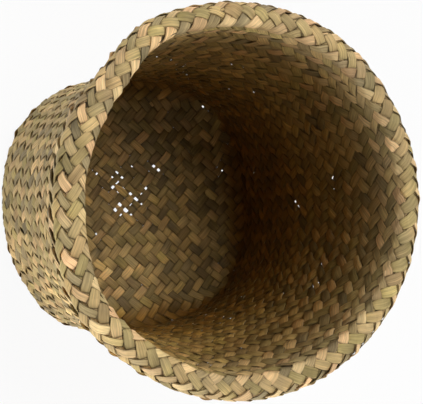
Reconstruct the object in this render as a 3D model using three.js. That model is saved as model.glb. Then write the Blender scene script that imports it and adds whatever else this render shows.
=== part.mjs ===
// Woven storage basket: an open-topped plaited basket with a soft square base and a round, folded border.
// Millimetres, +Z up. The origin is the middle of the base's underside, and the base's sides face X and Y.

import * as THREE from 'three';

// Overall sizes
const basketHeight = 258;
const mouthRadius = 109;

// Base: a square share of 0 is a circle and 1 a square with sharp corners
const baseThickness = 3;
const baseSquareShare = 0.17;

// Side wall
const wallThickness = 3;
const footRadius = 9;
const waistDepth = 7;

// Folded border: each turn's radius is a share of the border's width
const borderWidth = 16;
const borderDepth = 22;
const innerTurnShare = 0.31;
const outerTurnShare = 0.5;
const innerTuckDepth = 12;
const outerTuckStandoff = 3.4;
const collarBelowBorder = 4;

// Plaiting strips
const stripWidth = 6.8;
const stripThickness = 1;
const stripLeanDegrees = 45;
const foldedStripCount = 36;
const firstStripDegrees = 5;

// Clearance between pieces that lie against each other
const seatGap = 0.3;

// How finely the round shapes are divided
const roundSides = 64;
const wallLevels = 8;
const footSteps = 3;
const innerTurnSteps = 3;
const outerTurnSteps = 7;

const radians = THREE.MathUtils.degToRad;
const lerp = THREE.MathUtils.lerp;

const borderOuterRadius = mouthRadius + borderWidth;
const innerTurnRadius = borderWidth * innerTurnShare;
const outerTurnRadius = borderWidth * outerTurnShare;
const borderBuild = stripThickness + seatGap;

// The collar is the wall's round top, which the border's strips are folded over
const collarOuterRadius = mouthRadius + borderBuild + wallThickness;
const collarBottom = basketHeight - borderDepth - collarBelowBorder;

// The border's outer face runs straight from its round shoulder down to where the strips are tucked in
const shoulderRadius = borderOuterRadius - outerTurnRadius;
const tuckRadius = collarOuterRadius + seatGap + outerTuckStandoff;
const shoulderInset = shoulderRadius - tuckRadius;
const shoulderRise = borderDepth - outerTurnRadius;
const shoulderToTuck = Math.hypot(shoulderInset, shoulderRise);
const shoulderTurn = Math.acos(outerTurnRadius / shoulderToTuck);
const outerLean = Math.PI - Math.atan2(shoulderRise, shoulderInset) - shoulderTurn;
const outerSlope = Math.sqrt(shoulderToTuck ** 2 - outerTurnRadius ** 2);

// The same strips make the base and the collar, so the plait is as wide across one as across the other
const baseHalfWidth = collarOuterRadius;

function material(colour, roughness) {
  return new THREE.MeshStandardMaterial({ color: colour, roughness: roughness, metalness: 0 });
}

function mesh(name, geometry, finish) {
  geometry.computeVertexNormals();
  const piece = new THREE.Mesh(geometry, finish);
  piece.name = name;
  return piece;
}

function indexedGeometry(points, triangles) {
  const geometry = new THREE.BufferGeometry();
  const flat = points.flatMap((point) => [point.x, point.y, point.z]);
  geometry.setAttribute('position', new THREE.Float32BufferAttribute(flat, 3));
  geometry.setIndex(triangles.flat());
  return geometry;
}

// Distance from the axis to a square outline with soft corners
function outlineRadius(angle, halfWidth, squareness) {
  const power = 2 / (1 - squareness);
  const across = Math.abs(Math.cos(angle)) ** power;
  const along = Math.abs(Math.sin(angle)) ** power;
  return halfWidth / (across + along) ** (1 / power);
}

// A station is one closed ring of points round the basket
function ring(station) {
  const points = [];
  for (let side = 0; side < roundSides; side += 1) {
    const angle = (2 * Math.PI * side) / roundSides;
    const radius = outlineRadius(angle, station.halfWidth, station.squareness) - station.inset;
    points.push(new THREE.Vector3(radius * Math.cos(angle), radius * Math.sin(angle), station.height));
  }
  return points;
}

function circleStation(radius, height) {
  return { halfWidth: radius, squareness: 0, inset: 0, height: height };
}

function bandTriangles(lower, upper) {
  const triangles = [];
  for (let side = 0; side < roundSides; side += 1) {
    const next = (side + 1) % roundSides;
    triangles.push([lower + side, lower + next, upper + next]);
    triangles.push([lower + side, upper + next, upper + side]);
  }
  return triangles;
}

// A hollow ring-shaped solid: the stations go once round its cross-section, up the outside and down the inside
function closedRingGeometry(stations) {
  const points = stations.flatMap(ring);
  const triangles = stations.flatMap((station, index) => {
    const next = (index + 1) % stations.length;
    return bandTriangles(index * roundSides, next * roundSides);
  });
  return indexedGeometry(points, triangles);
}

// A solid slab: the stations go from the underside's edge to the top's edge, and both faces are closed
function slabGeometry(stations) {
  const points = stations.flatMap(ring);
  const triangles = [];
  for (let index = 0; index + 1 < stations.length; index += 1) {
    triangles.push(...bandTriangles(index * roundSides, (index + 1) * roundSides));
  }
  const topStart = (stations.length - 1) * roundSides;
  const bottomCentre = points.length;
  const topCentre = bottomCentre + 1;
  points.push(new THREE.Vector3(0, 0, stations[0].height));
  points.push(new THREE.Vector3(0, 0, stations[stations.length - 1].height));
  for (let side = 0; side < roundSides; side += 1) {
    const next = (side + 1) % roundSides;
    triangles.push([bottomCentre, next, side]);
    triangles.push([topCentre, topStart + side, topStart + next]);
  }
  return indexedGeometry(points, triangles);
}

// Base mat: a flat plaited slab that ends where the plait starts to turn up
function baseMat(finish) {
  const edge = { halfWidth: baseHalfWidth, squareness: baseSquareShare, inset: footRadius + seatGap };
  const underside = { ...edge, height: 0 };
  const top = { ...edge, height: baseThickness };
  return mesh('base_mat', slabGeometry([underside, top]), finish);
}

// The wall's outline at a height: soft square and wide at the foot, drawn in at the waist, round at the collar
function wallStation(height, inset) {
  const rise = THREE.MathUtils.clamp((height - footRadius) / (collarBottom - footRadius), 0, 1);
  const drawnIn = waistDepth * 4 * rise * (1 - rise);
  return {
    halfWidth: lerp(baseHalfWidth, collarOuterRadius, rise) - drawnIn,
    squareness: lerp(baseSquareShare, 0, rise),
    inset: inset,
    height: height,
  };
}

// The quarter turn from the base up into the wall, from its lower end to its upper end
function footStations(radius) {
  const stations = [];
  for (let step = 0; step < footSteps; step += 1) {
    const turn = (Math.PI / 2) * (step / footSteps);
    const inset = footRadius - radius * Math.sin(turn);
    stations.push({ ...wallStation(footRadius, inset), height: footRadius - radius * Math.cos(turn) });
  }
  return stations;
}

function wallFaceStations(inset) {
  const stations = [];
  for (let level = 0; level <= wallLevels; level += 1) {
    stations.push(wallStation(lerp(footRadius, collarBottom, level / wallLevels), inset));
  }
  return stations;
}

// Side wall: turned-up foot, waisted tube and round collar, with its top edge rounded under the fold
function sideWall(finish) {
  const turnRadius = innerTurnRadius - borderBuild;
  const turnCentreRadius = mouthRadius + innerTurnRadius;
  const turnCentreHeight = basketHeight - innerTurnRadius;
  const outerReach = collarOuterRadius - turnCentreRadius;
  const topEdge = [];
  for (let step = 0; step <= innerTurnSteps; step += 1) {
    const reach = lerp(outerReach, -turnRadius, step / innerTurnSteps);
    const height = turnCentreHeight + Math.sqrt(Math.max(turnRadius ** 2 - reach ** 2, 0));
    topEdge.push(circleStation(turnCentreRadius + reach, height));
  }
  const outside = [...footStations(footRadius), ...wallFaceStations(0)];
  const inside = [...footStations(footRadius - wallThickness), ...wallFaceStations(wallThickness)].reverse();
  return mesh('side_wall', closedRingGeometry([...outside, ...topEdge, ...inside]), finish);
}

// The border's section as points of radius and height, from the mouth over the crest to the tuck below it.
// Inset 0 is the strips' outer face, and a larger inset lies that much deeper in the border.
function borderSection(inset) {
  const points = [new THREE.Vector2(mouthRadius + inset, basketHeight - innerTuckDepth)];
  for (let step = 0; step <= innerTurnSteps; step += 1) {
    const turn = lerp(Math.PI, Math.PI / 2, step / innerTurnSteps);
    const reach = innerTurnRadius - inset;
    const radius = mouthRadius + innerTurnRadius + reach * Math.cos(turn);
    points.push(new THREE.Vector2(radius, basketHeight - innerTurnRadius + reach * Math.sin(turn)));
  }
  for (let step = 0; step <= outerTurnSteps; step += 1) {
    const turn = lerp(Math.PI / 2, -outerLean, step / outerTurnSteps);
    const reach = outerTurnRadius - inset;
    const radius = shoulderRadius + reach * Math.cos(turn);
    points.push(new THREE.Vector2(radius, basketHeight - outerTurnRadius + reach * Math.sin(turn)));
  }
  const slopeTop = points[points.length - 1];
  const bottomRadius = slopeTop.x - outerSlope * Math.sin(outerLean);
  points.push(new THREE.Vector2(bottomRadius, slopeTop.y - outerSlope * Math.cos(outerLean)));
  return points;
}

// Border core: the roll of doubled-over ends between the collar and the folded strips
function borderCore(finish) {
  const innerRadius = collarOuterRadius + seatGap;
  const section = borderSection(borderBuild).filter((point) => point.x > innerRadius + seatGap);
  const bottom = section[section.length - 1];
  const top = section[0];
  const stations = [circleStation(innerRadius, bottom.y)];
  for (const point of section.reverse()) {
    stations.push(circleStation(point.x, point.y));
  }
  stations.push(circleStation(innerRadius, top.y));
  return mesh('border_core', closedRingGeometry(stations), finish);
}

// A point of the border's section, carried round the axis to an angle
function turned(sectionPoint, angle) {
  return new THREE.Vector3(sectionPoint.x * Math.cos(angle), sectionPoint.x * Math.sin(angle), sectionPoint.y);
}

// Folded strip: comes up at the mouth, crosses the crest on the lean and is tucked in under the border
function foldedStrip(name, startAngle, finish) {
  const outer = borderSection(0);
  const inner = borderSection(stripThickness);
  const points = [];
  let angle = startAngle;
  outer.forEach((point, index) => {
    if (index > 0) {
      const step = point.distanceTo(outer[index - 1]);
      const middleRadius = (point.x + outer[index - 1].x) / 2;
      angle -= (step * Math.tan(radians(stripLeanDegrees))) / middleRadius;
    }
    const halfAngle = stripWidth / 2 / Math.cos(radians(stripLeanDegrees)) / point.x;
    points.push(turned(point, angle - halfAngle));
    points.push(turned(point, angle + halfAngle));
    points.push(turned(inner[index], angle + halfAngle));
    points.push(turned(inner[index], angle - halfAngle));
  });
  const corners = 4;
  const triangles = [];
  for (let here = 0; here + corners < points.length; here += corners) {
    const there = here + corners;
    for (const corner of [0, 1, 3]) {
      const next = (corner + 1) % corners;
      triangles.push([here + corner, there + next, here + next]);
      triangles.push([here + corner, there + corner, there + next]);
    }
    // The back face is split along its short diagonal, so that it bows clear of the core
    triangles.push([here + 2, there + 2, here + 3]);
    triangles.push([there + 2, there + 3, here + 3]);
  }
  const end = (outer.length - 1) * corners;
  triangles.push([0, 1, 2], [0, 2, 3]);
  triangles.push([end, end + 2, end + 1], [end, end + 3, end + 2]);
  return mesh(name, indexedGeometry(points, triangles), finish);
}

const plaitFinish = material('#8f7d4f', 0.8);
const baseFinish = material('#86734a', 0.8);
const coreFinish = material('#a08f63', 0.85);
const paleStripFinish = material('#c9ac7c', 0.7);

const basket = new THREE.Group();
basket.add(baseMat(baseFinish));
basket.add(sideWall(plaitFinish));
basket.add(borderCore(coreFinish));
for (let index = 0; index < foldedStripCount; index += 1) {
  const name = `folded_strip_${String(index + 1).padStart(2, '0')}`;
  const angle = radians(firstStripDegrees + (360 * index) / foldedStripCount);
  basket.add(foldedStrip(name, angle, paleStripFinish));
}

export default basket;
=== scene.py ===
import math

import bpy
import numpy as np
from mathutils import Matrix, Vector


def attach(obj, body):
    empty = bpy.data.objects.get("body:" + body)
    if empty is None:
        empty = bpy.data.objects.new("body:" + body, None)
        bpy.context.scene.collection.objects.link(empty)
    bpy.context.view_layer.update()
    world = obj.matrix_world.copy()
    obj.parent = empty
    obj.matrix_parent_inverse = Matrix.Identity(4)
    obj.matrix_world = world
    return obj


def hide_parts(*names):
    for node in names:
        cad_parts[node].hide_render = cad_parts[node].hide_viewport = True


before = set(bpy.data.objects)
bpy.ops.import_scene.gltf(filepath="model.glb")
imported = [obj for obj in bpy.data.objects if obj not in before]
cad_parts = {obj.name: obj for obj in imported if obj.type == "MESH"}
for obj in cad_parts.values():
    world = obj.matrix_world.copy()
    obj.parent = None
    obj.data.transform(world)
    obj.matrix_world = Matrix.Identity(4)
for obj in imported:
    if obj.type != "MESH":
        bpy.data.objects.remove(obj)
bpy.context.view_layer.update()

# Sizes of the basket, in metres
MM = 0.001
HEIGHT = 258 * MM
MOUTH_RADIUS = 109 * MM
COLLAR_RADIUS = 113.3 * MM
BASE_SQUARE_SHARE = 0.17
FOOT_RADIUS = 9 * MM
WAIST_DEPTH = 8.5 * MM
COLLAR_BOTTOM = HEIGHT - 26 * MM
# The wall is drawn in to the mouth near its top, and is straight again above that
DRAWN_IN_FROM = HEIGHT - 36 * MM
DRAWN_IN_LENGTH = 24 * MM
DRAWN_IN_TO = HEIGHT - 12 * MM
PLAIT_INSET = 1.5 * MM
BORDER_INSET = 0.7 * MM
BORDER_WIDTH = 16 * MM
INNER_TURN = 0.31 * BORDER_WIDTH
OUTER_TURN = 0.5 * BORDER_WIDTH
# The border's outer face is deeper on one side: its depth elsewhere, how much more it is there, and the angle
# and the spread of that side in degrees
OUTER_FACE = 3.5 * MM
FACE_EXTRA = 9 * MM
FACE_AROUND, FACE_SPREAD = 180, 32
TUCK_TURN = 4 * MM
TUCK_LEAN = math.radians(50)
TUCK_SLOPE = 8 * MM
# Past the tuck the ends bend down along the wall: how far inside the collar they end, how far below the tuck
# they bend and end, and what share of the way in they have gone at the bend
TUCK_END_INSET = 1.2 * MM
TUCK_BEND_DROP, TUCK_END_DROP = 4 * MM, 9 * MM
TUCK_BEND_SHARE = 0.75

# The basket isn't quite true: its base sits a little to one side, and it bulges and dips at a few places.
# Each bulge is its angle and spread in degrees, and how far it reaches at the mouth and at the base, in mm.
BASE_SHIFT = np.array([-2.9, 0.85]) * MM
BULGES = [(30, 15, -0.7, 0), (78, 12, -0.6, 0), (118, 11, 2.7, 0), (137, 10, -1.7, 0), (206, 16, 3.6, 0),
          (180, 20, 0, 1.4), (210, 10, 0, -1.3), (230, 12, 0, 1.8)]
BULGE_FADE_RADIUS = 100 * MM
# The mouth's edge alone is out of true as well: angle and spread in degrees, and how far out it sits, in mm
EDGE_SHIFTS = [(112, 27, 1.8), (153, 8, -1.4), (252, 12, 1.2)]
# Where on the wall that begins and over what band it grows, as shares of the height
EDGE_SHIFTS_FROM, EDGE_SHIFTS_BAND = 0.83, 0.12

# The plait: 36 strips each way across the base make 72 of each lean round the wall
PITCH = 9.65 * MM
STRIPS_EACH_WAY = 36
HALF_SQUARE = STRIPS_EACH_WAY / 4
ROUND_PITCHES = 2 * STRIPS_EACH_WAY
STRIP_WIDTH = 6.8 * MM
STRIP_THICKNESS = 0.8 * MM
BAND_FLATNESS, BAND_CRISPNESS = 0.45, 0.55
LIFT = 0.52 * MM
FLOAT_CROWN = 0.55 * MM
# How much of the crown the floats have on the base, on the wall and on the border's outer side
BASE_CROWN, WALL_CROWN, OUTER_CROWN = 0.65, 1.3, 1.15
# The share of a crossing over which a strip goes from over to under
CHANGE_SHARE = 0.9
# Over how many rows the look of the base gives way to the wall's, and the square base to the round wall
FOOT_ROWS, SQUARE_ROWS = 2, 9
# The rows close up as they turn over the mouth: their numbers, and how far past its edge they lie, in mm.
# The last row lies a little before the end of the section.
MOUTH_ROW = 27.4
BORDER_ROWS = [25.4, MOUTH_ROW, 27.75, 28.75, 29.75]
BORDER_LENGTHS = [0, 0, 1.4, 8.0, 14.4]
LAST_ROW = 33.5
LAST_ROW_MARGIN = 1
# The rows sit further out or in at some places: angle and spread in degrees, and how far for each row, in mm
ROW_SHIFTS = [(102, 24, [0, 1.2, 4.4, 2.2, 0.8]), (150, 28, [0, 0.4, 1.7, 0.4, 0]),
              (265, 25, [0, 0, 0.6, 0.6, 0.3]), (-15, 40, [0, -1.7, -2.8, 0, 0]),
              (0, 75, [0, 0, 0, 1.5, 1.5]), (215, 14, [0, -0.5, -1.2, -0.6, 0])]
STEPS_PER_CROSSING = 4
BORDER_STEPS_PER_CROSSING = 8
SEED = 11

# Hand work is uneven: the whole lattice is pulled about a little, and each strip wanders on its own
PULL = 0.45 * MM
PULL_SPACING = 55 * MM
PULL_WAVES = 9
PULL_SPACING_SHARES = (0.6, 1.8)
# The pull up the wall dies away below the mouth's edge: what is left of it, and over what length
PULL_LEFT, PULL_FADE = 0.2, 40 * MM
DRIFT = 0.05
BORDER_DRIFT_SHARE = 0.7
CROWN_SPREAD = 0.3
LIFT_SPREAD = 0.06 * MM
BASE_WIDTH_SHARE, WALL_WIDTH_SHARE, BORDER_WIDTH_SHARE = 1.06, 1.15, 1.13
NARROWEST_ROOM, WIDEST_ROOM = 0.8, 1.25
WIDTH_SPREAD = 0.022
# A strip changes as it comes to the border: its shape and its width start so many rows below the mouth
SHAPE_LEAD, WIDTH_LEAD, BORDER_FADE_ROWS = 1, 2, 1.5
# On the border's outer side the strips are pinched where they pass under one another
OUTER_ROWS_FROM, OUTER_ROWS_FADE = 28.3, 0.4
PINCH = 0.16
ROLL = math.radians(4)
# The strips that climb clockwise lie on the border like shingles, each with its clockwise edge lifted
SHINGLE_ROLL = math.radians(8)
# They are narrower there: what is left of their width, the last such row, and how fast that comes and goes
SHINGLE_WIDTH, SHINGLES_TO = 0.87, 31
SHINGLES_COME, SHINGLES_GO = 0.6, 0.8

# Where the plait has worked loose: a place and a radius in mm, and how much of their width the strips lack.
# First the middle of the base, then pinholes at the plait's corners, next to bright spots of the photograph.
LOOSE_PATCH = ((-5, 16, 2), 30, 0.06)
PINHOLE_RADIUS = 5
PINHOLES = [(-32, 30, 2, 0.38), (-13, 30, 2, 0.28), (2, 35, 2, 0.34), (22, 34, 2, 0.32), (27, 30, 2, 0.38),
            (-8, 25, 2, 0.26), (-13, 21, 2, 0.24), (-18, 17, 2, 0.44), (-2, 11, 2, 0.32), (13, 14, 2, 0.38),
            (3, 5, 2, 0.38), (-13, 2, 2, 0.4), (-7, -4, 2, 0.46), (8, 0, 2, 0.28), (-18, -3, 2, 0.26),
            (-2, -9, 2, 0.32), (8, -20, 2, 0.26), (-13, -8, 2, 0.26), (-36, -23, 2, 0.3),
            (-1, 104, 142, 0.34), (20, 102, 106, 0.36), (16, 104, 112, 0.36), (-2, 107, 51, 0.4),
            (15, 111, 16, 0.44), (29, 97, 2, 0.34), (33, 92, 2, 0.24), (75, 87, 4, 0.34), (90, 26, 2, 0.34),
            (90, 36, 2, 0.24), (104, 12, 177, 0.34), (105, 3, 177, 0.38), (102, -7, 121, 0.36),
            (101, -12, 126, 0.4), (95, -40, 118, 0.42), (91, -53, 174, 0.42), (81, -69, 177, 0.36)]
LOOSE_PLACES = [LOOSE_PATCH] + [((x, y, z), PINHOLE_RADIUS, share) for x, y, z, share in PINHOLES]


def smooth(value):
    """A soft step: 0 up to 0, 1 from 1 on."""
    t = np.clip(value, 0, 1)
    return t * t * (3 - 2 * t)


def mix(a, b, share):
    return a + (b - a) * share


def nearness(angle, middle, spread):
    """1 at the middle angle, fading on both sides of it; the middle and the spread are in degrees."""
    away = (np.degrees(angle) - middle + 180) % 360 - 180
    return np.exp(-((away / spread) ** 2))


# The middle surface of the plait
def outline(angle, half_width, square_share):
    """Distance from the axis to a square with soft corners; a share of 0 is a circle."""
    power = 2 / (1 - square_share)
    across, along = np.abs(np.cos(angle)) ** power, np.abs(np.sin(angle)) ** power
    return half_width / (across + along) ** (1 / power)


def wall_radius(angle, height):
    rise = np.clip((height - FOOT_RADIUS) / (COLLAR_BOTTOM - FOOT_RADIUS), 0, 1)
    half_width = COLLAR_RADIUS - WAIST_DEPTH * 4 * rise * (1 - rise)
    return outline(angle, half_width, BASE_SQUARE_SHARE * (1 - rise)) - PLAIT_INSET


def turn(centre_radius, centre_height, radius, start, end, steps):
    """An arc of the section, from one angle to another, as radii and heights."""
    a = np.radians(np.linspace(start, end, steps))
    return centre_radius + radius * np.cos(a), centre_height + radius * np.sin(a)


# How many points each stretch of the section has, from the middle of the base to the tuck
BASE_POINTS, FOOT_POINTS, WALL_POINTS = 30, 16, 90
INNER_TURN_POINTS, OUTER_TURN_POINTS, TUCK_POINTS = 12, 20, 10
# Two that are closer than this are one
SAME_POINT = 1e-9


def base_and_wall(angle):
    """The section's first half: base, foot and wall, up to the turn over the mouth."""
    flat = outline(angle, COLLAR_RADIUS, BASE_SQUARE_SHARE) - FOOT_RADIUS
    base = np.linspace(0, flat, BASE_POINTS), np.full(BASE_POINTS, PLAIT_INSET)
    foot = turn(flat, FOOT_RADIUS, FOOT_RADIUS - PLAIT_INSET, -90, 0, FOOT_POINTS)
    z = np.linspace(FOOT_RADIUS, DRAWN_IN_TO, WALL_POINTS)
    drawn_in = smooth((z - DRAWN_IN_FROM) / DRAWN_IN_LENGTH)
    wall = mix(wall_radius(angle, z), MOUTH_RADIUS + BORDER_INSET, drawn_in), z
    return [base, foot, wall]


def border_and_tuck(angle):
    """The section's second half: mouth, crest, outer face of the border and tuck."""
    inner, outer = INNER_TURN - BORDER_INSET, OUTER_TURN - BORDER_INSET
    mouth = turn(MOUTH_RADIUS + INNER_TURN, HEIGHT - INNER_TURN, inner, 180, 90, INNER_TURN_POINTS)
    shoulder = MOUTH_RADIUS + BORDER_WIDTH - OUTER_TURN
    crest = turn(shoulder, HEIGHT - OUTER_TURN, outer, 90, 0, OUTER_TURN_POINTS)
    extra = FACE_EXTRA * math.exp(-((math.degrees(angle) - FACE_AROUND) / FACE_SPREAD) ** 2)
    face_bottom = HEIGHT - OUTER_TURN - OUTER_FACE - extra
    lean = -math.degrees(TUCK_LEAN)
    face = turn(shoulder + outer - TUCK_TURN, face_bottom, TUCK_TURN, 0, lean, TUCK_POINTS)
    r, z = face[0][-1], face[1][-1]
    tuck_r, tuck_z = r - TUCK_SLOPE * math.sin(TUCK_LEAN), z - TUCK_SLOPE * math.cos(TUCK_LEAN)
    end_r, end_z = COLLAR_RADIUS - TUCK_END_INSET, tuck_z - TUCK_END_DROP
    bend_r, bend_z = mix(tuck_r, end_r, TUCK_BEND_SHARE), tuck_z - TUCK_BEND_DROP
    tuck = np.array([tuck_r, bend_r, end_r]), np.array([tuck_z, bend_z, end_z])
    return [mouth, crest, face, tuck]


def section(angle):
    """The plait's whole section at an angle, as lengths along it, radii and heights."""
    parts = base_and_wall(angle) + border_and_tuck(angle)
    radii, heights = (np.concatenate([p[i] for p in parts]) for i in (0, 1))
    lengths = np.concatenate([[0], np.cumsum(np.hypot(np.diff(radii), np.diff(heights)))])
    keep = np.concatenate([[True], np.diff(lengths) > SAME_POINT])
    return lengths[keep], radii[keep], heights[keep]


ANGLE_STEPS, LENGTH_STEPS = 180, 2400
# The mouth's edge is where the turn has gone this far out, and the base ends where it has risen this much
PAST_MOUTH, OFF_FLOOR = 1.5 * MM, 1e-6


def section_table():
    """Sections all round, each read at the same shares of its length."""
    shares = np.linspace(0, 1, LENGTH_STEPS + 1)
    rows = []
    for angle in np.arange(ANGLE_STEPS + 1) * 2 * math.pi / ANGLE_STEPS:
        lengths, radii, heights = section(angle)
        at = shares * lengths[-1]
        mouth = lengths[np.argmax((radii > MOUTH_RADIUS + PAST_MOUTH) & (heights > HEIGHT - INNER_TURN))]
        flat = lengths[np.argmax(heights > PLAIT_INSET + OFF_FLOOR) - 1]
        at_radii, at_heights = np.interp(at, lengths, radii), np.interp(at, lengths, heights)
        rows.append((at_radii, at_heights, lengths[-1], mouth, flat))
    return [np.array(column) for column in zip(*rows)]


SECTION_RADII, SECTION_HEIGHTS, SECTION_LENGTHS, MOUTH_LENGTHS, FLAT_LENGTHS = section_table()
# The furthest place in a row of the table that still has a next value to read
TABLE_END = LENGTH_STEPS - 1e-6


def round_the_axis(column, angle):
    """Reads a value that is known at each angle step."""
    place = (angle / (2 * math.pi) % 1) * ANGLE_STEPS
    low = place.astype(int)
    return mix(column[low], column[low + 1], place - low)


def surface(angle, length):
    """Points of the plait's middle surface, at an angle round the axis and a length along the section."""
    across = (angle / (2 * math.pi) % 1) * ANGLE_STEPS
    column = across.astype(int)
    along = np.clip(length / round_the_axis(SECTION_LENGTHS, angle), 0, 1) * TABLE_END
    row = along.astype(int)

    def read(table):
        near = mix(table[column, row], table[column, row + 1], along - row)
        far = mix(table[column + 1, row], table[column + 1, row + 1], along - row)
        return mix(near, far, across - column)

    r, z = read(SECTION_RADII), read(SECTION_HEIGHTS)
    for middle, spread, at_mouth, at_base in BULGES:
        reach = mix(at_base, at_mouth, smooth(z / HEIGHT)) * MM
        r = r + reach * nearness(angle, middle, spread) * smooth(r / BULGE_FADE_RADIUS)
    near_edge = smooth((z / HEIGHT - EDGE_SHIFTS_FROM) / EDGE_SHIFTS_BAND)
    near_edge = near_edge * (1 - smooth((r - MOUTH_RADIUS) / BORDER_WIDTH))
    for middle, spread, reach in EDGE_SHIFTS:
        r = r + reach * MM * nearness(angle, middle, spread) * near_edge
    low = 1 - z / HEIGHT
    x = r * np.cos(angle) + BASE_SHIFT[0] * low
    y = r * np.sin(angle) + BASE_SHIFT[1] * low
    return np.stack([x, y, z], axis=-1)


def border_length(row, angle):
    """How far past the mouth's edge a row lies: set lengths for the first rows, then even steps."""
    ends = [np.full(len(angle), length) for length in BORDER_LENGTHS]
    for middle, spread, shifts in ROW_SHIFTS:
        share = nearness(angle, middle, spread)
        ends = [end + shift * share for end, shift in zip(ends, shifts)]
    room = round_the_axis(SECTION_LENGTHS - MOUTH_LENGTHS, angle) / MM
    rows, ends = BORDER_ROWS + [LAST_ROW], ends + [room - LAST_ROW_MARGIN]
    length = np.zeros(len(angle))
    for i in range(len(rows) - 1):
        length += np.clip((row - rows[i]) / (rows[i + 1] - rows[i]), 0, 1) * (ends[i + 1] - ends[i])
    return length * MM


def lattice_place(x, y):
    """Angle and length of a point of the plait's lattice, counted in pitches from the middle of the base.
    Each quarter of the lattice beyond the base's square is carried up the wall."""
    sideways = np.abs(y) > np.abs(x)
    far = np.maximum(np.abs(x), np.abs(y))
    rise = far - HALF_SQUARE
    on_base_angle, on_base_length = np.arctan2(y, x), np.hypot(x, y) * PITCH
    side = 2 * HALF_SQUARE
    round_x = np.where(x > 0, y, 2 * side - y)
    round_y = np.where(y > 0, side - x, x - side)
    around = np.where(sideways, round_y, round_x)
    quarter = np.round(around / side)
    past = around - quarter * side
    square_angle = quarter * math.pi / 2 + np.arctan(past / HALF_SQUARE)
    even_angle = around * 2 * math.pi / ROUND_PITCHES
    wall_angle = mix(square_angle, even_angle, smooth(rise / SQUARE_ROWS))
    start = PITCH * np.hypot(HALF_SQUARE, past)
    mouth = round_the_axis(MOUTH_LENGTHS, wall_angle)
    wall_length = mix(start, mouth, np.minimum(rise, MOUTH_ROW) / MOUTH_ROW)
    wall_length = wall_length + border_length(rise, wall_angle)
    inside = rise <= 0
    return np.where(inside, on_base_angle, wall_angle), np.where(inside, on_base_length, wall_length), rise


def waves():
    """Slow waves in space, as directions over their spacing, shifts and reaches, for an uneven pull."""
    rng = np.random.default_rng(SEED)
    directions = rng.normal(size=(PULL_WAVES, 3))
    directions /= np.linalg.norm(directions, axis=1, keepdims=True)
    lengths = PULL_SPACING * rng.uniform(*PULL_SPACING_SHARES, (PULL_WAVES, 1))
    shifts = rng.uniform(0, 2 * math.pi, PULL_WAVES)
    return 2 * math.pi * directions / lengths, shifts, rng.normal(size=(PULL_WAVES, 3))


WAVES = waves()


def pull(points):
    """How far the plait is pulled aside at each point."""
    directions, shifts, reaches = WAVES
    return PULL * np.sin(points @ directions.T + shifts) @ reaches


# Nearer the middle of the base than this, the pull is applied on the flat instead of round the axis
NEAR_MIDDLE = 60 * MM


def lattice_point(x, y):
    """A point of the plait's middle surface, with the uneven pull of the hand."""
    angle, length, _ = lattice_place(x, y)
    pulled = pull(surface(angle, length))
    outward = np.stack([np.cos(angle), np.sin(angle)], axis=-1)
    aside = outward[:, 0] * pulled[:, 1] - outward[:, 1] * pulled[:, 0]
    flat = outward * length[:, None] + pulled[:, :2]
    near = length < NEAR_MIDDLE
    moved_angle = np.where(near, np.arctan2(flat[:, 1], flat[:, 0]), angle + aside / MOUTH_RADIUS)
    up_wall = np.where(length < COLLAR_RADIUS, np.einsum("ij,ij->i", outward, pulled[:, :2]), pulled[:, 2])
    fade_start = round_the_axis(MOUTH_LENGTHS, angle) - PULL_FADE
    held = mix(1, PULL_LEFT, smooth((length - fade_start) / PULL_FADE))
    moved_length = np.where(near, np.hypot(flat[:, 0], flat[:, 1]), length + up_wall * held)
    return surface(moved_angle, moved_length)


# The plait's facing is read over a small step to each side, and is straight up in the middle of the base
ANGLE_STEP, LENGTH_STEP = 0.004, 0.5 * MM
LEVEL_RADIUS = 80 * MM


def facing(x, y):
    """The side of the plait that is seen from inside the basket, as unit vectors."""
    angle, length, _ = lattice_place(x, y)
    along = surface(angle, length + LENGTH_STEP) - surface(angle, length - LENGTH_STEP)
    around = surface(angle + ANGLE_STEP, length) - surface(angle - ANGLE_STEP, length)
    normal = np.cross(along, around)
    normal[length < LEVEL_RADIUS] = (0, 0, 1)
    return normal / np.linalg.norm(normal, axis=-1, keepdims=True)


# Strips
def is_over(x, y, rising):
    """Whether the strip shows on the inner side at a crossing: over two, under two, row by row."""
    rows = np.round(2 * (np.maximum(np.abs(x), np.abs(y)) - HALF_SQUARE)).astype(int) % 4
    level = np.abs(x) > np.abs(y)
    over = (level == (rows < 2))
    return over if rising else ~over


def leans_back(x, y, rising):
    """Whether a strip climbs the wall clockwise there, as the pale ones at the border do."""
    level = np.abs(x) > np.abs(y)
    return ~level if rising else level


def wander(rng, count, reach, crossings):
    """A slow random drift along a strip, with a new aim every few crossings."""
    spacing = crossings * BORDER_STEPS_PER_CROSSING
    knots = rng.normal(0, reach, int(count / spacing) + 3)
    place = (np.arange(count) + rng.uniform(0, spacing)) / spacing
    low = place.astype(int)
    return mix(knots[low], knots[low + 1], smooth(place - low))


def ease(values, passes):
    """Takes the sharpness out of a strip's bends."""
    for _ in range(passes):
        inner = (values[:-2] + 2 * values[1:-1] + values[2:]) / 4
        values = np.concatenate([values[:1], inner, values[-1:]])
    return values


def patches(points, places, power, start):
    """A value at each point, from a start and patches that fade out: a higher power gives a firmer edge."""
    value = np.full(len(points), start)
    for place, radius, strength in places:
        away = np.linalg.norm(points - np.array(place) * MM, axis=1) / (radius * MM)
        value += strength * np.exp(-away ** power)
    return value


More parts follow.
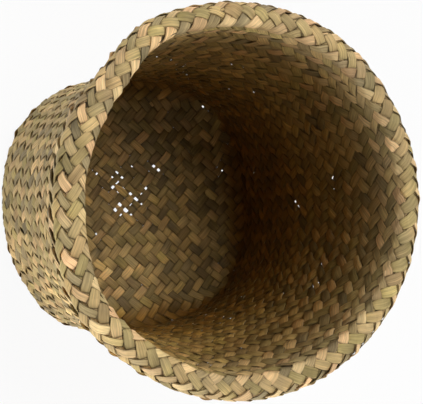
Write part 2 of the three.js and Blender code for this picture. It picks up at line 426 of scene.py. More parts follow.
def over_and_under(rng, lattice, t, rising, rise, outer_rows):
    """How far a strip lies above the plait's middle, its lift from -1 to 1, and its floats' crowns."""
    before = np.floor(t - 0.5) + 0.5
    share = t - before
    over_before = np.where(is_over(*lattice(before), rising), 1.0, -1.0)
    over_after = np.where(is_over(*lattice(before + 1), rising), 1.0, -1.0)
    lift = mix(over_before, over_after, smooth((share - 0.5) / CHANGE_SHARE + 0.5))
    crown = np.where(over_before == over_after, over_before, 0) * 4 * share * (1 - share)
    crown_share = mix(mix(BASE_CROWN, WALL_CROWN, smooth(rise / FOOT_ROWS)), OUTER_CROWN, outer_rows)
    uneven = 1 + wander(rng, len(t), CROWN_SPREAD, crossings=3)
    raised = LIFT * lift + FLOAT_CROWN * crown_share * crown * uneven
    return ease(raised, passes=3) + wander(rng, len(t), LIFT_SPREAD, crossings=4), lift, crown


def width_share(rng, room, rise, on_border, pinching):
    """How wide a strip is where its neighbours leave it this much room, as a share of its own width."""
    share_of_room = mix(BASE_WIDTH_SHARE, WALL_WIDTH_SHARE, smooth(rise / FOOT_ROWS))
    share_of_room = mix(share_of_room, BORDER_WIDTH_SHARE, on_border)
    uneven = rng.normal(1, WIDTH_SPREAD) * (1 + wander(rng, len(room), WIDTH_SPREAD, crossings=4))
    given = np.clip(ease(room, passes=12) / STRIP_WIDTH, NARROWEST_ROOM, WIDEST_ROOM)
    return given * share_of_room * uneven * (1 - PINCH * pinching)


def strip(rng, number, rising):
    """One whole strip, from its tucked end up, over the border, down the wall, across the base and up again.
    Its number is its place across the base, in pitches from the middle."""
    reach = 2 * (HALF_SQUARE + LAST_ROW) - abs(number)
    fine = 1 / BORDER_STEPS_PER_CROSSING
    t = np.arange(-reach, reach + fine / 2, fine)
    count = len(t)

    def lattice(t, aside=0.0):
        here = number + aside
        a, b = (here + t) / 2, (t - here) / 2
        return (a, b) if rising else (a, -b)

    x, y = lattice(t)
    angle, _, rise = lattice_place(x, y)
    on_border = smooth((rise - MOUTH_ROW + SHAPE_LEAD) / BORDER_FADE_ROWS)
    outer_rows = smooth((rise - OUTER_ROWS_FROM) / OUTER_ROWS_FADE)
    drift = wander(rng, count, DRIFT, crossings=3) * mix(1, BORDER_DRIFT_SHARE, on_border)
    points = lattice_point(*lattice(t, drift))
    normals = facing(x, y)
    tangent = np.gradient(points, axis=0)
    tangent /= np.linalg.norm(tangent, axis=-1, keepdims=True)
    sideways = np.cross(tangent, normals)
    apart = lattice_point(*lattice(t, 0.5)) - lattice_point(*lattice(t, -0.5))
    room = np.abs(np.einsum("ij,ij->i", apart, sideways))

    raised, lift, crown = over_and_under(rng, lattice, t, rising, rise, outer_rows)
    points = ease(points, passes=6) + normals * raised[:, None]
    length = np.concatenate([[0], np.cumsum(np.linalg.norm(np.diff(points, axis=0), axis=1))])
    around = np.stack([-np.sin(angle), np.cos(angle), np.zeros(count)], axis=1)
    turned = np.sign(np.einsum("ij,ij->i", sideways, around))
    back = leans_back(x, y, rising)
    shingled = ease(outer_rows * back, passes=6)
    roll = (wander(rng, count, ROLL, crossings=2) + SHINGLE_ROLL * shingled * turned)[:, None]
    dive = 1 - np.abs(lift)
    full = width_share(rng, room, rise, on_border, outer_rows * ease(dive, passes=4))
    return {
        "point": points,
        "facing": normals * np.cos(roll) + sideways * np.sin(roll),
        "fullness": full * (1 - patches(points, LOOSE_PLACES, power=4, start=0.0)),
        "along": length + rng.uniform(0, PATTERN_SHIFT),
        "dive": dive,
        "crown": ease(crown, passes=3),
        "rise": rise,
        "outer_rows": outer_rows,
        "back": back,
        "turned": turned,
        "x": x,
        "y": y,
    }


def round_number(x, y):
    """Which of the strips round the wall this end is, of those that climb clockwise."""
    side = 2 * HALF_SQUARE
    sideways = abs(y) > abs(x)
    around = (side - x if y > 0 else x - side) if sideways else (y if x > 0 else 2 * side - y)
    rise = max(abs(x), abs(y)) - HALF_SQUARE
    return int(round(around + rise - 0.5)) % ROUND_PITCHES


# Patches of painted light and shade on the straw: a place and a radius in mm, and how much lighter or darker
# it is there
PAINTED_LIGHT_PLACES = [((-90, -75, 200), 80, 0.23), ((-15, -60, 0), 50, 0.2), ((-50, -92, 110), 60, 0.52),
                   ((51, -92, 103), 45, 0.33), ((0, -108, 225), 50, -0.09), ((105, 10, 250), 60, -0.1),
                   ((80, 75, 250), 50, -0.16), ((31, 101, 205), 55, 0.15), ((-112, 0, 120), 55, -0.1),
                   ((-95, 65, 110), 50, 0.12), ((-58, -90, 165), 40, 0.2), ((13, -104, 195), 40, -0.12)]

# Every other strip that climbs clockwise is pale, but the count slips by one at two places round the mouth
PALE_SLIPS = (23, 51)
# How pale and grey the ends of strips are, from least to most: most strips, the pale ones, those between
PLAIN_PALE, PLAIN_GREY = (0.0, 0.15), (0.0, 0.5)
BLEACHED_PALE, BETWEEN_GREY = (0.75, 1.0), (0.35, 1.0)
# The tones of a strip's two ends meet from this share of its length on, over this share
ENDS_MEET_FROM, ENDS_MEET_OVER = 0.35, 0.3
# How far the tones change from float to float, every so many crossings, and how much more on the base
FLECKS = {"pale": 0.13, "tone": 0.3, "grey": 0.22}
FLECK_CROSSINGS = 2.5
BASE_FLECKS = 1.6
BASE_PALE_FLECKS = 0.25
# The pale strips are less pale down the wall: what is left up to a row, and over how many rows it grows
PALE_LEFT, PALE_LEFT_TO, PALE_ROWS = 0.45, 12, 14
# How much a strip's lightness differs from the others', and changes along it, and within what limits
SHADE_SPREAD, SHADE_FLECKS, BASE_SHADE_FLECKS = 0.07, 0.18, 1.9
DARKEST, LIGHTEST = 0.62, 1.5
# The straw of the base is greyer, and a little darker as painted shade
BASE_SHADE, BASE_GREY = 0.92, 0.2
# The side that faces into the basket carries painted shade, a darker and browner tint: how much high and low
# on the wall, and where those meet
HIGH_INNER_SHADE, LOW_INNER_SHADE = 0.6, 1.35
LOW_SHADE_TO, LOW_SHADE_ROWS, MOUTH_SHADE_ROWS = 18, 8, 9
# The painted inner shade is weaker on the base, and weaker still where painted light lies on the base, up to
# a limit
BASE_INNER_SHADE_LOSS, LIT_INNER_SHADE_LOSS, PAINTED_LIGHT_LIMIT = 0.22, 1.8, 0.2
# How wide the grey and the pale strips are at the border
GREY_WIDTH, PALE_WIDTH = 0.88, 1.12
# How dark the strips' edges are on the side that shows inside the basket and over the border: painted shade
# between neighbouring strips, partly the sedge's own darker rolled edges
BASE_EDGE_SHADE, WALL_EDGE_SHADE, CREST_EDGE_SHADE = 0.04, 0.42, 0.2
EDGE_SHADE_ROWS = 4
# On the shingled strips of the border, painted shadow: at the lifted edge, and at the other one on grey
# strips and on pale ones
LIFTED_EDGE_SHADE, GREY_LOW_EDGE_SHADE, PALE_LOW_EDGE_SHADE = 0.97, 0.97, 0.1
# There the pale strips also stand up more than the grey ones: how much of a float's crown is added
GREY_CROWN, PALE_CROWN = -0.7, 0.7


def end_tones(rng, made, end):
    """The colouring of one end of a strip: how pale, olive and grey it is."""
    pale, tone, grey = rng.uniform(*PLAIN_PALE), rng.uniform(0, 1), rng.uniform(*PLAIN_GREY)
    tones = {"pale": pale, "tone": tone, "grey": grey}
    if made["back"][end]:
        place = round_number(made["x"][end], made["y"][end])
        even = place % 2 == 0
        if even == (PALE_SLIPS[0] <= place < PALE_SLIPS[1]):
            tones.update(pale=rng.uniform(*BLEACHED_PALE), grey=0.0)
        else:
            tones.update(grey=rng.uniform(*BETWEEN_GREY))
    return tones


def set_tones(rng, made, on_base):
    """How pale, olive and grey a strip is: its ends differ, and it changes a little from float to float."""
    count = len(made["x"])
    fade = smooth((np.linspace(0, 1, count) - ENDS_MEET_FROM) / ENDS_MEET_OVER)
    first, last = end_tones(rng, made, 0), end_tones(rng, made, count - 1)
    for name, reach in FLECKS.items():
        flecks = wander(rng, count, reach, FLECK_CROSSINGS) * mix(1, BASE_FLECKS, on_base)
        made[name] = mix(first[name], last[name], fade) + flecks


def set_widths(made):
    """At the border a strip's width goes with its tone, and those that lie like shingles are narrower."""
    on_border = smooth((made["rise"] - MOUTH_ROW + WIDTH_LEAD) / BORDER_FADE_ROWS)
    by_tone = mix(GREY_WIDTH, PALE_WIDTH, np.clip(made["pale"], 0, 1))
    made["fullness"] = made["fullness"] * mix(1, by_tone, on_border * made["back"])
    come = smooth((made["rise"] - OUTER_ROWS_FROM) / SHINGLES_COME)
    go = smooth((SHINGLES_TO - made["rise"]) / SHINGLES_GO)
    made["fullness"] = made["fullness"] * mix(1, SHINGLE_WIDTH, come * go * made["back"])


def set_lightness(rng, made, on_base):
    """How light a strip is, how pale down the wall, how grey on the base, and how much painted shade its
    inner side carries.
    """
    count = len(made["x"])
    near_border = smooth((made["rise"] - PALE_LEFT_TO) / PALE_ROWS)
    flecks = wander(rng, count, BASE_PALE_FLECKS, FLECK_CROSSINGS) * on_base
    made["pale"] = made["pale"] * mix(PALE_LEFT, 1, near_border) + flecks
    shade = rng.normal(1.0, SHADE_SPREAD)
    shade = shade + wander(rng, count, SHADE_FLECKS, FLECK_CROSSINGS) * mix(1, BASE_SHADE_FLECKS, on_base)
    # Painted light and shade from the patches goes into the strip's lightness
    light = patches(made["point"], PAINTED_LIGHT_PLACES, power=2, start=1.0)
    made["shade"] = np.clip(shade, DARKEST, LIGHTEST) * light * mix(1, BASE_SHADE, on_base)
    made["grey"] = made["grey"] + BASE_GREY * on_base
    # Painted shade on the inner side: strongest low on the wall, less up to the mouth, and less on the base
    low_on_wall = smooth(made["rise"] / FOOT_ROWS) * smooth((LOW_SHADE_TO - made["rise"]) / LOW_SHADE_ROWS)
    inner_shade_loss = BASE_INNER_SHADE_LOSS + LIT_INNER_SHADE_LOSS * np.clip(light - 1, 0, PAINTED_LIGHT_LIMIT)
    below_mouth = smooth((MOUTH_ROW - made["rise"]) / MOUTH_SHADE_ROWS)
    made["inside"] = below_mouth * mix(HIGH_INNER_SHADE, LOW_INNER_SHADE, low_on_wall) * (1 - inner_shade_loss * on_base)


def set_edge_shade(made):
    """How much painted shade the strip's two edges carry. On the border the lifted edge of a shingled strip
    carries a dark painted shadow.
    """
    edge_shade = mix(BASE_EDGE_SHADE, WALL_EDGE_SHADE, smooth(made["rise"] / EDGE_SHADE_ROWS + 0.5))
    low_edge_shade = mix(GREY_LOW_EDGE_SHADE, PALE_LOW_EDGE_SHADE, smooth(2 * made["pale"]))
    for name, lifted in (("left_edge_shade", made["turned"] > 0), ("right_edge_shade", made["turned"] < 0)):
        there = np.where(made["back"], np.where(lifted, LIFTED_EDGE_SHADE, low_edge_shade), CREST_EDGE_SHADE)
        made[name] = mix(edge_shade, there, made["outer_rows"])


def finish_strip(rng, made):
    """Adds a strip's colouring, sets its width by it, and lets the pale floats of the border stand proud."""
    on_base = smooth(-made["rise"] / FOOT_ROWS + 1)
    set_tones(rng, made, on_base)
    set_widths(made)
    set_lightness(rng, made, on_base)
    set_edge_shade(made)
    by_tone = mix(GREY_CROWN, PALE_CROWN, np.clip(made["pale"], 0, 1))
    proud = FLOAT_CROWN * by_tone * made["outer_rows"] * made["back"]
    made["point"] = made["point"] + made["facing"] * (proud * made["crown"])[:, None]


def all_strips():
    rng = np.random.default_rng(SEED)
    numbers = np.arange(STRIPS_EACH_WAY) - (STRIPS_EACH_WAY - 1) / 2
    strips = []
    for rising in (True, False):
        for number in numbers:
            strips.append(strip(rng, number, rising))
            finish_strip(rng, strips[-1])
    return strips


# From strips to meshes
def add_object(name, data):
    made = bpy.data.objects.new(name, data)
    bpy.context.scene.collection.objects.link(made)
    return made


def add_node(tree, kind, settings=None, inputs=None):
    """Adds a node with its settings. Each input, by name or place, is a value, another node's output, or
    another node, which stands for its first output."""
    made = tree.nodes.new(kind)
    for name, value in (settings or {}).items():
        setattr(made, name, value)
    for name, value in (inputs or {}).items():
        socket = made.inputs[name]
        if isinstance(value, bpy.types.Node):
            value = value.outputs[0]
        if isinstance(value, bpy.types.NodeSocket):
            tree.links.new(value, socket)
        else:
            socket.default_value = value
    return made


def add_sum(tree, operation, *values, clamp=False):
    """Adds a node that works on numbers, with its values in order."""
    settings = {"operation": operation, "use_clamp": clamp}
    return add_node(tree, "ShaderNodeMath", settings, dict(enumerate(values)))


def add_mix(tree, share, first, second, blend="MIX"):
    """Adds a mix of two colours, which has them at inputs 6 and 7 and gives the mix at output 2."""
    settings = {"data_type": "RGBA", "blend_type": blend}
    return add_node(tree, "ShaderNodeMix", settings, {0: share, 6: first, 7: second}).outputs[2]


def add_range(tree, value, start, end):
    """Adds a node that carries a value from 0 to 1 over to another start and end."""
    return add_node(tree, "ShaderNodeMapRange", None, {"Value": value, "To Min": start, "To Max": end})


def band_profile(tree, given):
    """A flat band with crisp edges, made of a circle: its thickness and width both hold nearly to the edge.
    Each point keeps how far across the band it is, and whether it is on the inner side."""
    circle = add_node(tree, "GeometryNodeCurvePrimitiveCircle", {"mode": "RADIUS"},
                      {"Resolution": given["Section points"], "Radius": 1.0})
    place = add_node(tree, "GeometryNodeInputPosition")
    split = add_node(tree, "ShaderNodeSeparateXYZ", None, {"Vector": place})
    squared = {}
    for axis, power in (("X", BAND_FLATNESS), ("Y", BAND_CRISPNESS)):
        full = add_sum(tree, "POWER", add_sum(tree, "ABSOLUTE", split.outputs[axis]), power)
        squared[axis] = add_sum(tree, "MULTIPLY", full, add_sum(tree, "SIGN", split.outputs[axis]))
    marked = circle
    for name, value in (("across", squared["Y"]), ("inner", split.outputs["X"])):
        marked = add_node(tree, "GeometryNodeStoreNamedAttribute", {"data_type": "FLOAT", "domain": "POINT"},
                          {"Geometry": marked, "Name": name, "Value": value})
    band = add_node(tree, "ShaderNodeCombineXYZ", None, squared)
    size = add_node(tree, "ShaderNodeCombineXYZ", None,
                    {"X": given["Strip thickness"], "Y": given["Strip width"]})
    half = add_node(tree, "ShaderNodeVectorMath", {"operation": "SCALE"}, {"Vector": size, "Scale": 0.5})
    flat = add_node(tree, "ShaderNodeVectorMath", {"operation": "MULTIPLY"}, {0: band, 1: half})
    return add_node(tree, "GeometryNodeSetPosition", None, {"Geometry": marked, "Position": flat})


def strip_sweep():
    """The node tree that sweeps a flat strip's section along each centre line of a mesh of edges."""
    tree = bpy.data.node_groups.new("strip_sweep", "GeometryNodeTree")
    sockets = {"Centre lines": "Geometry", "Strip width": "Float", "Strip thickness": "Float",
               "Section points": "Int", "Finish": "Material"}
    for name, kind in sockets.items():
        tree.interface.new_socket(name, in_out="INPUT", socket_type="NodeSocket" + kind)
    tree.interface.new_socket("Strips", in_out="OUTPUT", socket_type="NodeSocketGeometry")
    given = add_node(tree, "NodeGroupInput").outputs

    kinds = {"facing": "FLOAT_VECTOR", "fullness": "FLOAT", "along": "FLOAT", "across": "FLOAT"}
    kept = {name: add_node(tree, "GeometryNodeInputNamedAttribute", {"data_type": kind}, {"Name": name})
            for name, kind in kinds.items()}
    lines = add_node(tree, "GeometryNodeMeshToCurve", None, {"Mesh": given["Centre lines"]})
    turned = add_node(tree, "GeometryNodeSetCurveNormal", {"mode": "FREE"},
                      {"Curve": lines, "Normal": kept["facing"]})
    swept = add_node(tree, "GeometryNodeCurveToMesh", None,
                     {"Curve": turned, "Profile Curve": band_profile(tree, given),
                      "Scale": kept["fullness"], "Fill Caps": True})
    uv = add_node(tree, "ShaderNodeCombineXYZ", None, {"X": kept["along"], "Y": kept["across"]})
    mapped = add_node(tree, "GeometryNodeStoreNamedAttribute", {"data_type": "FLOAT2", "domain": "CORNER"},
                      {"Geometry": swept, "Name": "UVMap", "Value": uv})
    soft = add_node(tree, "GeometryNodeSetShadeSmooth", None, {"Geometry": mapped, "Shade Smooth": True})
    real = add_node(tree, "GeometryNodeRealizeInstances", None, {"Geometry": soft})
    done = add_node(tree, "GeometryNodeSetMaterial", None, {"Geometry": real, "Material": given["Finish"]})
    add_node(tree, "NodeGroupOutput", None, {"Strips": done})
    return tree


# What each point of a centre line holds for the sweep and for the material, beside its place and its facing
KEPT_VALUES = ("fullness", "along", "dive", "pale", "tone", "grey", "shade", "inside",
               "left_edge_shade", "right_edge_shade")


def runs_of(mask):
    """First and last index of each unbroken run of True."""
    edges = np.diff(np.concatenate([[0], mask.astype(int), [0]]))
    return list(zip(np.flatnonzero(edges == 1), np.flatnonzero(edges == -1) - 1))


def centre_lines(strips, wanted, step):
    """A mesh of edges with the wanted stretches of the strips, thinned to one point in step."""
    columns = {name: [] for name in ("point", "facing") + KEPT_VALUES}
    edges, total = [], 0
    for made in strips:
        for first, last in runs_of(wanted(made)):
            first, last = max(first - 1, 0), min(last + 1, len(made["x"]) - 1)
            between = np.arange(first - first % step + step, last, step)
            pick = np.unique(np.concatenate([[first], between, [last]]))
            if len(pick) < 3:
                continue
            for name, column in columns.items():
                column.append(made[name][pick])
            here = np.arange(total, total + len(pick) - 1)
            edges.append(np.stack([here, here + 1], axis=1))
            total += len(pick)
    mesh = bpy.data.meshes.new("centre_lines")
    points = np.concatenate(columns.pop("point"))
    mesh.from_pydata(points.tolist(), np.concatenate(edges).tolist(), [])
    vectors = mesh.attributes.new("facing", "FLOAT_VECTOR", "POINT")
    vectors.data.foreach_set("vector", np.concatenate(columns.pop("facing")).astype(np.float32).ravel())
    for name, column in columns.items():
        value = mesh.attributes.new(name, "FLOAT", "POINT")
        value.data.foreach_set("value", np.concatenate(column).astype(np.float32))
    return mesh


def sweep_piece(name, mesh, tree, section_points, finish):
    """Sweeps the centre lines and returns the result as one plain mesh object."""
    lines = add_object(name + "_lines", mesh)
    sweep = lines.modifiers.new("sweep", "NODES")
    sweep.node_group = tree
    values = {"Strip width": STRIP_WIDTH, "Strip thickness": STRIP_THICKNESS,
              "Section points": section_points, "Finish": finish}
    for item in tree.interface.items_tree:
        if item.in_out == "INPUT" and item.name in values:
            sweep[item.identifier] = values[item.name]
    evaluated = lines.evaluated_get(bpy.context.evaluated_depsgraph_get())
    plain = bpy.data.meshes.new_from_object(evaluated)
    bpy.data.objects.remove(lines)
    plain.name = name
    return add_object(name, plain)


# Materials
def linear(code):
    """An sRGB hex colour as linear red, green, blue and alpha."""
    parts = [int(code[i:i + 2], 16) / 255 for i in (1, 3, 5)]
    return [p / 12.92 if p <= 0.04045 else ((p + 0.055) / 1.055) ** 2.4 for p in parts] + [1.0]


# Each noise's length along a strip, its spacing across it and its detail. The real fibres are about 0.3 mm
# apart and are drawn at 0.6 mm so that they show; the bands are the ribs of the split leaf.
DRIFT_NOISE = (28 * MM, 8 * MM, 2.0)
FIBRE_NOISE = (16 * MM, 0.6 * MM, 3.0)
BAND_NOISE = (45 * MM, 1.5 * MM, 1.0)
# Each strip's pattern starts somewhere else along these noises, within 2 m
PATTERN_SHIFT = 2
# How far the drifts move the tone, and how much the fibres and the bands lighten the straw, over how little
DRIFT_REACH = 1.2
# How sharply the inner side begins at the edge, and how much paleness the painted inner shade leaves there
INNER_SHARPNESS, SHADED_PALE = 3.0, 0.6
FIBRE_CONTRAST, FIBRE_LEAST = 1.3, 0.35
BAND_CONTRAST, BAND_LEAST = 1.0, 0.5


def strip_noises(tree, uv):
    """Slow drifts, fine fibres and broader bands, all drawn out along the strip. The map along a strip is in
    metres, and across it 1 is half the strip's width."""
    noises = []
    for length, spacing, detail in (DRIFT_NOISE, FIBRE_NOISE, BAND_NOISE):
        place = add_node(tree, "ShaderNodeMapping", None,
                         {"Vector": uv, "Scale": (1 / length, STRIP_WIDTH / 2 / spacing, 1.0)})
        noise = add_node(tree, "ShaderNodeTexNoise", None,
                         {"Vector": place, "Scale": 1.0, "Detail": detail, "Roughness": 0.6})
        noises.append(noise.outputs["Fac"])
    return noises


def straw_colour(tree, own, drift, age, colours):
    """A strip's colour: straw to olive, more or less grey, bleached where pale, and browner and darker on the
    inner side as painted shade.
    """
    slow = add_sum(tree, "MULTIPLY_ADD", drift, DRIFT_REACH, -DRIFT_REACH / 2)
    tone = add_sum(tree, "ADD", own["tone"], slow, clamp=True)
    leaf = add_mix(tree, tone, colours["straw"], colours["olive"])
    weathered = add_mix(tree, own["grey"], leaf, colours["grey"])
    bleached = add_mix(tree, tone, colours["peach"], colours["cream"])
    pale = add_sum(tree, "MULTIPLY", own["pale"], add_range(tree, age, 1.0, SHADED_PALE), clamp=True)
    dyed = add_mix(tree, pale, weathered, bleached)
    # Painted shade: the inner side is multiplied by a browner, darker tint
    aged = add_node(tree, "ShaderNodeGamma", None, {"Color": colours["aged_tint"], "Gamma": age})
    return add_mix(tree, 1.0, dyed, aged, blend="MULTIPLY")


def painted_shade(tree, own, uv, inner_side):
    """Painted shade on a strip: how dark it is at its edges, and the painted shadow where it dives under its
    neighbours.
    """
    across = add_node(tree, "ShaderNodeSeparateXYZ", None, {"Vector": uv}).outputs["Y"]
    side = add_sum(tree, "ABSOLUTE", across)
    # Painted shade along the edges: a narrow dark line between the strips of the border, a wider and softer
    # one on the wall and base
    start, outer_strength, narrowness = [add_range(tree, own["inside"], on_border, on_wall)
                                         for on_border, on_wall in ((0.82, 0.6), (0.44, 0.33), (3.6, 1.8))]
    inner_strength = add_node(tree, "ShaderNodeMapRange", None,
                              {"Value": across, "From Min": -0.05, "From Max": 0.05,
                               "To Min": own["left_edge_shade"], "To Max": own["right_edge_shade"]})
    strength = add_range(tree, inner_side, outer_strength, inner_strength)
    edge = add_node(tree, "ShaderNodeMapRange", {"interpolation_type": "SMOOTHSTEP"},
                    {"Value": side, "From Min": start, "From Max": 1.0, "To Max": strength})
    sharp = add_sum(tree, "POWER", own["dive"], narrowness)
    # The shadow is deepest on the border, where the ends of the floats stand up most, and weakest on the base
    inner_depth = add_node(tree, "ShaderNodeMapRange", None,
                           {"Value": own["left_edge_shade"], "From Min": BASE_EDGE_SHADE, "From Max": WALL_EDGE_SHADE,
                            "To Min": 0.4, "To Max": 0.62})
    depth = add_range(tree, own["inside"], 0.88, add_range(tree, inner_side, 0.47, inner_depth))
    return add_sum(tree, "MULTIPLY_ADD", sharp, depth, edge, clamp=True)


def empty_tree(owner):
    """The node tree of a material or a world, with nothing in it yet."""
    owner.use_nodes = True
    owner.node_tree.nodes.clear()
    return owner.node_tree


def dried_sedge(**hex_colours):
    """Dried sedge, split, flattened and plaited: matt straw with ribs and fibres along it, each float a
    slightly different tone, with painted shade at its edges and on its inner side, and painted shadow where
    it dives under its neighbours."""
    material = bpy.data.materials.new("dried_sedge")
    tree = empty_tree(material)
    colours = {name: linear(code) for name, code in hex_colours.items()}
    own = {name: add_node(tree, "ShaderNodeAttribute", {"attribute_name": name}).outputs["Fac"]
           for name in ("tone", "grey", "pale", "shade", "dive", "inner", "inside",
                        "left_edge_shade", "right_edge_shade")}
    uv = add_node(tree, "ShaderNodeUVMap", {"uv_map": "UVMap"})
    drift, fibre, band = strip_noises(tree, uv)
    # The side that faces into the basket carries painted shade, a browner and darker tone, the pale strips
    # too
    inner_side = add_sum(tree, "MULTIPLY", own["inner"], INNER_SHARPNESS, clamp=True)
    age = add_sum(tree, "MULTIPLY", inner_side, own["inside"])
    dyed = straw_colour(tree, own, drift, age, colours)

    fine = add_sum(tree, "MULTIPLY_ADD", fibre, FIBRE_CONTRAST, FIBRE_LEAST)
    wide = add_sum(tree, "MULTIPLY_ADD", band, BAND_CONTRAST, BAND_LEAST)
    both = add_sum(tree, "MULTIPLY", fine, wide)
    streaks = add_sum(tree, "MULTIPLY", both, own["shade"])
    streaked = add_node(tree, "ShaderNodeVectorMath", {"operation": "SCALE"}, {0: dyed, "Scale": streaks})
    # Painted shade at the strips' edges and painted shadow where the floats dive under their neighbours
    dark = painted_shade(tree, own, uv, inner_side)
    shaded = add_mix(tree, dark, streaked, colours["shadow"])

    bump = add_node(tree, "ShaderNodeBump", None, {"Height": both, "Strength": 0.6, "Distance": 0.3 * MM})
    finish = add_node(tree, "ShaderNodeBsdfPrincipled", None,
                      {"Base Color": shaded, "Roughness": 0.62, "Specular IOR Level": 0.2,
                       "Normal": bump})
    add_node(tree, "ShaderNodeOutputMaterial", None, {"Surface": finish})
    return material


def shaded_folded_ends():
    """The doubled-over ends under the border: the same sedge, drawn in near-black browns as painted shade, as
    it is seen only in the dark gaps.
    """
    material = bpy.data.materials.new("dried_sedge_roll_painted_shade")
    tree = empty_tree(material)
    place = add_node(tree, "ShaderNodeTexCoord").outputs["Object"]
    grain = add_node(tree, "ShaderNodeTexNoise", None,
                     {"Vector": place, "Scale": 1 / (2.5 * MM), "Detail": 3.0}).outputs["Fac"]
    # Painted shade: dark browns in place of the sedge's own straw colour
    colour = add_mix(tree, grain, linear("#2e2413"), linear("#5a4a2b"))
    bump = add_node(tree, "ShaderNodeBump", None, {"Height": grain, "Strength": 0.6, "Distance": 0.5 * MM})
    finish = add_node(tree, "ShaderNodeBsdfPrincipled", None,
                      {"Base Color": colour, "Roughness": 0.85, "Normal": bump})
    add_node(tree, "ShaderNodeOutputMaterial", None, {"Surface": finish})
    return material


# The pieces: which stretches of the strips each one holds
WALL_MIDDLE = 14.0
BORDER_START = 26.6


def in_base(made):
    angle, length, _ = lattice_place(made["x"], made["y"])
    return length < round_the_axis(FLAT_LENGTHS, angle)


def in_wall(low, high, back):
    def wanted(made):
        in_rows = (made["rise"] > low) & (made["rise"] <= high)
        return (made["back"] == back) & in_rows & ~in_base(made)
    return wanted


def in_border(back):
    def wanted(made):
        return (made["back"] == back) & (made["rise"] > BORDER_START)
    return wanted


def plaited_pieces():
    """Makes each piece of the plait from its stretches of the strips, gives it its body, and hides the parts
    of the model that it stands for.
    """
    folded = sorted(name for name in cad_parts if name.startswith("folded_strip_"))
    plan = [("plaited_base", in_base, "plaited_base", ["base_mat"])]
    for level, low, high in (("lower", -HALF_SQUARE, WALL_MIDDLE), ("upper", WALL_MIDDLE, BORDER_START)):
        for side, back in (("right", False), ("left", True)):
            name = f"wall_{level}_{side}_strips"
            plan.append((name, in_wall(low, high, back), "plaited_wall", ["side_wall"]))
    plan.append(("border_crest_strips", in_border(False), "folded_strips", folded))
    plan.append(("border_pale_strips", in_border(True), "folded_strips", folded))
    # The border turns tightly, so its strips keep every point and have a rounder section
    thin = BORDER_STEPS_PER_CROSSING // STEPS_PER_CROSSING
    detail = {"plaited_base": (thin, 8), "plaited_wall": (thin, 8), "folded_strips": (1, 10)}
    strips = all_strips()
    tree = strip_sweep()
    # The tint is the inner side's painted shade, and the shadow colour the painted shade at edges and float
    # ends
    sedge = dried_sedge(straw="#d0b078", olive="#b39f65", grey="#958562", peach="#d9b182", cream="#e2c590",
                        aged_tint="#c3ab7b", shadow="#20170b")
    for name, wanted, slot, nodes in plan:
        step, points = detail[slot]
        piece = sweep_piece(name, centre_lines(strips, wanted, step), tree, points, sedge)
        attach(piece, "root")
        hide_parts(*nodes)


plaited_pieces()
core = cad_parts["border_core"]
core.data.materials.clear()
core.data.materials.append(shaded_folded_ends())

# Camera, at the photograph's place and angle
CAMERA_PLACE = Vector((-0.22706, 0.01062, 0.72216))
CAMERA_TARGET = Vector((0.0145, -0.0005, 0.15))
PICTURE_TOP = Vector((0.077145, 0.996933, 0.013137))
LENS = 70.638


def add_camera():
    data = bpy.data.cameras.new("camera")
    data.sensor_width = 36.0
    data.lens = LENS
    data.clip_start, data.clip_end = 0.01, 50.0
    camera = add_object("camera", data)
    back = (CAMERA_PLACE - CAMERA_TARGET).normalized()
    right = PICTURE_TOP.cross(back).normalized()
    turned = Matrix((right, back.cross(right), back)).transposed().to_4x4()
    camera.matrix_world = Matrix.Translation(CAMERA_PLACE) @ turned
    bpy.context.scene.camera = camera


# Floor and light
FLOOR_HALF = 3.0
GLOW_SHARE = 0.92
SOFT_SIZE, SOFT_DISTANCE, SOFT_AIM = (1.25, 1.25), 2.4, (0, 0, 0.15)
LOW_SIZE, LOW_DISTANCE, LOW_AIM = (0.9, 0.24), 0.9, (0, 0, 0.2)
LOW_HEIGHT = Vector((0, 0, 0.3))


def seen_directly(tree):
    """1 for rays that come straight from the camera, or by way of a shine."""
    path = add_node(tree, "ShaderNodeLightPath").outputs
    return add_sum(tree, "ADD", path["Is Camera Ray"], path["Is Glossy Ray"], clamp=True)


def pale_floor():
    """White paper: bright to the camera, with the object's soft shadow left in it."""
    mesh = bpy.data.meshes.new("floor")
    corners = [(x * FLOOR_HALF, y * FLOOR_HALF, 0) for x, y in ((-1, -1), (1, -1), (1, 1), (-1, 1))]
    mesh.from_pydata(corners, [], [(0, 1, 2, 3)])
    floor = add_object("floor", mesh)
    material = bpy.data.materials.new("white_paper")
    tree = empty_tree(material)
    paper = add_node(tree, "ShaderNodeBsdfDiffuse", None, {"Color": linear("#e8e8e8")})
    glow = add_node(tree, "ShaderNodeEmission", None, {"Color": linear("#ffffff"), "Strength": 1.0})
    seen = seen_directly(tree)
    share = add_sum(tree, "MULTIPLY", seen, GLOW_SHARE)
    both = add_node(tree, "ShaderNodeMixShader", None, {0: share, 1: paper, 2: glow})
    add_node(tree, "ShaderNodeOutputMaterial", None, {"Surface": both})
    mesh.materials.append(material)


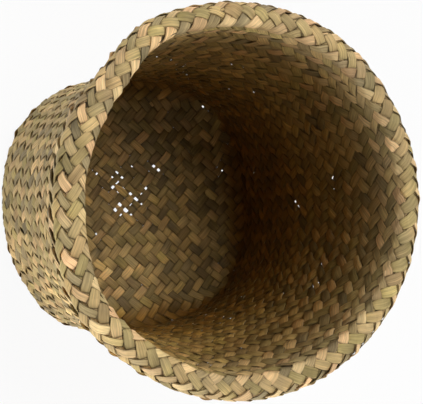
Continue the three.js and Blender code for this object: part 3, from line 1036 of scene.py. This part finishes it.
def add_lamp(name, place, target, width, height, power):
    data = bpy.data.lights.new(name, "AREA")
    data.shape, data.size, data.size_y, data.energy = "RECTANGLE", width, height, power
    lamp = add_object(name, data)
    lamp.visible_camera = False
    lamp.location = place
    lamp.rotation_euler = (Vector(target) - Vector(place)).to_track_quat("-Z", "Y").to_euler()


def lamp_place(around, up, distance):
    """A place at an angle round the basket and above the floor, in degrees, and a distance from it."""
    a, e = math.radians(around), math.radians(up)
    return Vector((math.cos(a) * math.cos(e), math.sin(a) * math.cos(e), math.sin(e))) * distance


def studio_world(low_strength, high_strength):
    """Soft light from all round the horizon that fades overhead, and a white background."""
    world = bpy.data.worlds.new("studio")
    tree = empty_tree(world)
    seen = seen_directly(tree)
    direction = add_node(tree, "ShaderNodeTexCoord").outputs["Generated"]
    up = add_node(tree, "ShaderNodeSeparateXYZ", None, {"Vector": direction}).outputs["Z"]
    fade = add_node(tree, "ShaderNodeMapRange", {"interpolation_type": "SMOOTHSTEP"},
                    {"Value": up, "From Min": 0.05, "From Max": 0.4,
                     "To Min": low_strength, "To Max": high_strength})
    amount = add_node(tree, "ShaderNodeMix", {"data_type": "FLOAT"}, {"Factor": seen, "A": fade, "B": 1.0})
    sky = add_node(tree, "ShaderNodeBackground", None, {"Color": linear("#ffffff"), "Strength": amount})
    add_node(tree, "ShaderNodeOutputWorld", None, {"Surface": sky})
    bpy.context.scene.world = world


def studio_lamps():
    """Two soft lamps from above, and low strip lamps that light the outside and reach in over the edge only a
    little, so that the inside stays dim."""
    for name, around, up, power in (("key", 50, 67, 38), ("fill", 270, 60, 6.5)):
        add_lamp(name, lamp_place(around, up, SOFT_DISTANCE), SOFT_AIM, *SOFT_SIZE, power)
    for around, power in ((90, 0.5), (225, 3.4), (280, 2.4)):
        place = lamp_place(around, 0, LOW_DISTANCE) + LOW_HEIGHT
        add_lamp(f"low_{around}", place, LOW_AIM, *LOW_SIZE, power)


add_camera()
pale_floor()
studio_world(low_strength=1.6, high_strength=0.0)
studio_lamps()

bpy.context.scene.view_settings.view_transform = "Standard"
